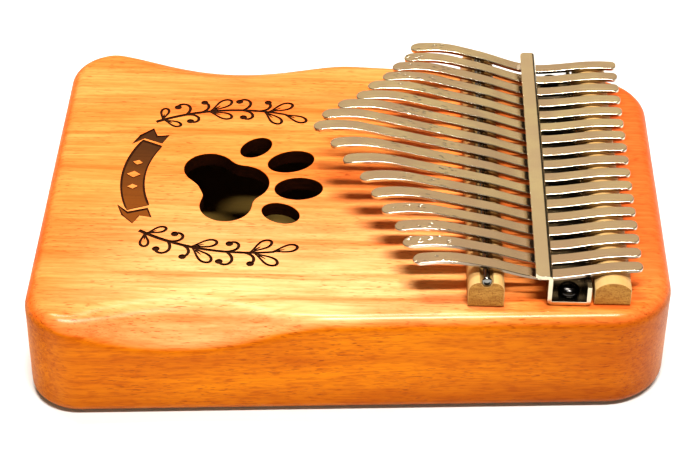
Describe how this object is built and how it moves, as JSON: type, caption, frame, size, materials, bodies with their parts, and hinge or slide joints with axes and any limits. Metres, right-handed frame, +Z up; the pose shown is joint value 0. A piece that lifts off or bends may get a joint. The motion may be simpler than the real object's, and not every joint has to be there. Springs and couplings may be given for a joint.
{
  "type": "mbira",
  "caption": "Hollow wooden soundbox with a paw-shaped sound hole and a fan of sprung steel keys held over two saddles by a slotted bent-steel bracket.",
  "frame": {"origin": "centre of the underside of the soundbox, on the surface it stands on", "axes": "+X along the keys towards their tails, -X towards the player; +Y across the box towards the side with key 1; +Z up out of the top"},
  "size_m": [0.185, 0.1384, 0.0546],
  "materials": {
    "box_wood": "gloss clear lacquer over straight-grained light orange wood",
    "plate_wood": "satin lacquer",
    "inner_wood": "raw, unsanded",
    "saddle_wood": "oiled light hardwood",
    "key_steel": "bright spring steel with small forming marks",
    "fitting_steel": "bright plated steel"
  },
  "bodies": {
    "soundbox": {"soundbox_shell": "box_wood", "back_plate": "plate_wood", "inner_brace": "inner_wood", "front_saddle": "saddle_wood", "saddle_rod": "fitting_steel", "rear_saddle": "saddle_wood", "steel_bracket": "fitting_steel", "bracket_screw_1": "fitting_steel", "bracket_screw_2": "fitting_steel", "bracket_screw_3": "fitting_steel", "bracket_screw_4": "fitting_steel", "bracket_screw_5": "fitting_steel"},
    "key_01_clamped": {"key_01_tail": "key_steel"},
    "key_01_free": {"key_01_tongue": "key_steel"},
    "key_02_clamped": {"key_02_tail": "key_steel"},
    "key_02_free": {"key_02_tongue": "key_steel"},
    "key_03_clamped": {"key_03_tail": "key_steel"},
    "key_03_free": {"key_03_tongue": "key_steel"},
    "key_04_clamped": {"key_04_tail": "key_steel"},
    "key_04_free": {"key_04_tongue": "key_steel"},
    "key_05_clamped": {"key_05_tail": "key_steel"},
    "key_05_free": {"key_05_tongue": "key_steel"},
    "key_06_clamped": {"key_06_tail": "key_steel"},
    "key_06_free": {"key_06_tongue": "key_steel"},
    "key_07_clamped": {"key_07_tail": "key_steel"},
    "key_07_free": {"key_07_tongue": "key_steel"},
    "key_08_clamped": {"key_08_tail": "key_steel"},
    "key_08_free": {"key_08_tongue": "key_steel"},
    "key_09_clamped": {"key_09_tail": "key_steel"},
    "key_09_free": {"key_09_tongue": "key_steel"},
    "key_10_clamped": {"key_10_tail": "key_steel"},
    "key_10_free": {"key_10_tongue": "key_steel"},
    "key_11_clamped": {"key_11_tail": "key_steel"},
    "key_11_free": {"key_11_tongue": "key_steel"},
    "key_12_clamped": {"key_12_tail": "key_steel"},
    "key_12_free": {"key_12_tongue": "key_steel"},
    "key_13_clamped": {"key_13_tail": "key_steel"},
    "key_13_free": {"key_13_tongue": "key_steel"},
    "key_14_clamped": {"key_14_tail": "key_steel"},
    "key_14_free": {"key_14_tongue": "key_steel"},
    "key_15_clamped": {"key_15_tail": "key_steel"},
    "key_15_free": {"key_15_tongue": "key_steel"},
    "key_16_clamped": {"key_16_tail": "key_steel"},
    "key_16_free": {"key_16_tongue": "key_steel"},
    "key_17_clamped": {"key_17_tail": "key_steel"},
    "key_17_free": {"key_17_tongue": "key_steel"}
  },
  "joints": [
    {"name": "key_01_tune", "type": "slide", "parent": "soundbox", "child": "key_01_clamped", "axis": [0.999, -0.045, 0], "range_m": [-0.0008, 0.0015]},
    {"name": "key_01_press", "type": "hinge", "parent": "key_01_clamped", "child": "key_01_free", "pos_m": [0.0384, 0.05348, 0.0446], "axis": [0, -1, 0], "range_deg": [-1.5, 3.5], "stiffness_Nm_per_rad": 9.6},
    {"name": "key_02_tune", "type": "slide", "parent": "soundbox", "child": "key_02_clamped", "axis": [0.9992, -0.0394, 0], "range_m": [-0.0008, 0.0015]},
    {"name": "key_02_press", "type": "hinge", "parent": "key_02_clamped", "child": "key_02_free", "pos_m": [0.0384, 0.04692, 0.0446], "axis": [0, -1, 0], "range_deg": [-1.5, 3.5], "stiffness_Nm_per_rad": 8.8},
    {"name": "key_03_tune", "type": "slide", "parent": "soundbox", "child": "key_03_clamped", "axis": [0.9994, -0.0338, 0], "range_m": [-0.0008, 0.0015]},
    {"name": "key_03_press", "type": "hinge", "parent": "key_03_clamped", "child": "key_03_free", "pos_m": [0.0384, 0.04036, 0.0446], "axis": [0, -1, 0], "range_deg": [-1.5, 3.5], "stiffness_Nm_per_rad": 7.6},
    {"name": "key_04_tune", "type": "slide", "parent": "soundbox", "child": "key_04_clamped", "axis": [0.9996, -0.0282, 0], "range_m": [-0.0008, 0.0015]},
    {"name": "key_04_press", "type": "hinge", "parent": "key_04_clamped", "child": "key_04_free", "pos_m": [0.0384, 0.0338, 0.0446], "axis": [0, -1, 0], "range_deg": [-1.5, 3.5], "stiffness_Nm_per_rad": 6.8},
    {"name": "key_05_tune", "type": "slide", "parent": "soundbox", "child": "key_05_clamped", "axis": [0.9997, -0.0225, 0], "range_m": [-0.0008, 0.0015]},
    {"name": "key_05_press", "type": "hinge", "parent": "key_05_clamped", "child": "key_05_free", "pos_m": [0.0384, 0.02724, 0.0446], "axis": [0, -1, 0], "range_deg": [-1.5, 3.5], "stiffness_Nm_per_rad": 5.9},
    {"name": "key_06_tune", "type": "slide", "parent": "soundbox", "child": "key_06_clamped", "axis": [0.9999, -0.0169, 0], "range_m": [-0.0008, 0.0015]},
    {"name": "key_06_press", "type": "hinge", "parent": "key_06_clamped", "child": "key_06_free", "pos_m": [0.0384, 0.02068, 0.0446], "axis": [0, -1, 0], "range_deg": [-1.5, 3.5], "stiffness_Nm_per_rad": 5.4},
    {"name": "key_07_tune", "type": "slide", "parent": "soundbox", "child": "key_07_clamped", "axis": [0.9999, -0.0113, 0], "range_m": [-0.0008, 0.0015]},
    {"name": "key_07_press", "type": "hinge", "parent": "key_07_clamped", "child": "key_07_free", "pos_m": [0.0384, 0.01412, 0.0446], "axis": [0, -1, 0], "range_deg": [-1.5, 3.5], "stiffness_Nm_per_rad": 4.7},
    {"name": "key_08_tune", "type": "slide", "parent": "soundbox", "child": "key_08_clamped", "axis": [1, -0.0056, 0], "range_m": [-0.0008, 0.0015]},
    {"name": "key_08_press", "type": "hinge", "parent": "key_08_clamped", "child": "key_08_free", "pos_m": [0.0384, 0.00756, 0.0446], "axis": [0, -1, 0], "range_deg": [-1.5, 3.5], "stiffness_Nm_per_rad": 4.3},
    {"name": "key_09_tune", "type": "slide", "parent": "soundbox", "child": "key_09_clamped", "axis": [1, 0, 0], "range_m": [-0.0008, 0.0015]},
    {"name": "key_09_press", "type": "hinge", "parent": "key_09_clamped", "child": "key_09_free", "pos_m": [0.0384, 0.001, 0.0446], "axis": [0, -1, 0], "range_deg": [-1.5, 3.5], "stiffness_Nm_per_rad": 4.1},
    {"name": "key_10_tune", "type": "slide", "parent": "soundbox", "child": "key_10_clamped", "axis": [1, 0.0056, 0], "range_m": [-0.0008, 0.0015]},
    {"name": "key_10_press", "type": "hinge", "parent": "key_10_clamped", "child": "key_10_free", "pos_m": [0.0384, -0.00556, 0.0446], "axis": [0, -1, 0], "range_deg": [-1.5, 3.5], "stiffness_Nm_per_rad": 4.5},
    {"name": "key_11_tune", "type": "slide", "parent": "soundbox", "child": "key_11_clamped", "axis": [0.9999, 0.0113, 0], "range_m": [-0.0008, 0.0015]},
    {"name": "key_11_press", "type": "hinge", "parent": "key_11_clamped", "child": "key_11_free", "pos_m": [0.0384, -0.01212, 0.0446], "axis": [0, -1, 0], "range_deg": [-1.5, 3.5], "stiffness_Nm_per_rad": 5},
    {"name": "key_12_tune", "type": "slide", "parent": "soundbox", "child": "key_12_clamped", "axis": [0.9999, 0.0169, 0], "range_m": [-0.0008, 0.0015]},
    {"name": "key_12_press", "type": "hinge", "parent": "key_12_clamped", "child": "key_12_free", "pos_m": [0.0384, -0.01868, 0.0446], "axis": [0, -1, 0], "range_deg": [-1.5, 3.5], "stiffness_Nm_per_rad": 5.7},
    {"name": "key_13_tune", "type": "slide", "parent": "soundbox", "child": "key_13_clamped", "axis": [0.9997, 0.0225, 0], "range_m": [-0.0008, 0.0015]},
    {"name": "key_13_press", "type": "hinge", "parent": "key_13_clamped", "child": "key_13_free", "pos_m": [0.0384, -0.02524, 0.0446], "axis": [0, -1, 0], "range_deg": [-1.5, 3.5], "stiffness_Nm_per_rad": 6.2},
    {"name": "key_14_tune", "type": "slide", "parent": "soundbox", "child": "key_14_clamped", "axis": [0.9996, 0.0282, 0], "range_m": [-0.0008, 0.0015]},
    {"name": "key_14_press", "type": "hinge", "parent": "key_14_clamped", "child": "key_14_free", "pos_m": [0.0384, -0.0318, 0.0446], "axis": [0, -1, 0], "range_deg": [-1.5, 3.5], "stiffness_Nm_per_rad": 6.9},
    {"name": "key_15_tune", "type": "slide", "parent": "soundbox", "child": "key_15_clamped", "axis": [0.9994, 0.0338, 0], "range_m": [-0.0008, 0.0015]},
    {"name": "key_15_press", "type": "hinge", "parent": "key_15_clamped", "child": "key_15_free", "pos_m": [0.0384, -0.03836, 0.0446], "axis": [0, -1, 0], "range_deg": [-1.5, 3.5], "stiffness_Nm_per_rad": 7.9},
    {"name": "key_16_tune", "type": "slide", "parent": "soundbox", "child": "key_16_clamped", "axis": [0.9992, 0.0394, 0], "range_m": [-0.0008, 0.0015]},
    {"name": "key_16_press", "type": "hinge", "parent": "key_16_clamped", "child": "key_16_free", "pos_m": [0.0384, -0.04492, 0.0446], "axis": [0, -1, 0], "range_deg": [-1.5, 3.5], "stiffness_Nm_per_rad": 8.7},
    {"name": "key_17_tune", "type": "slide", "parent": "soundbox", "child": "key_17_clamped", "axis": [0.999, 0.045, 0], "range_m": [-0.0008, 0.0015]},
    {"name": "key_17_press", "type": "hinge", "parent": "key_17_clamped", "child": "key_17_free", "pos_m": [0.0384, -0.05148, 0.0446], "axis": [0, -1, 0], "range_deg": [-1.5, 3.5], "stiffness_Nm_per_rad": 9.9}
  ]
}
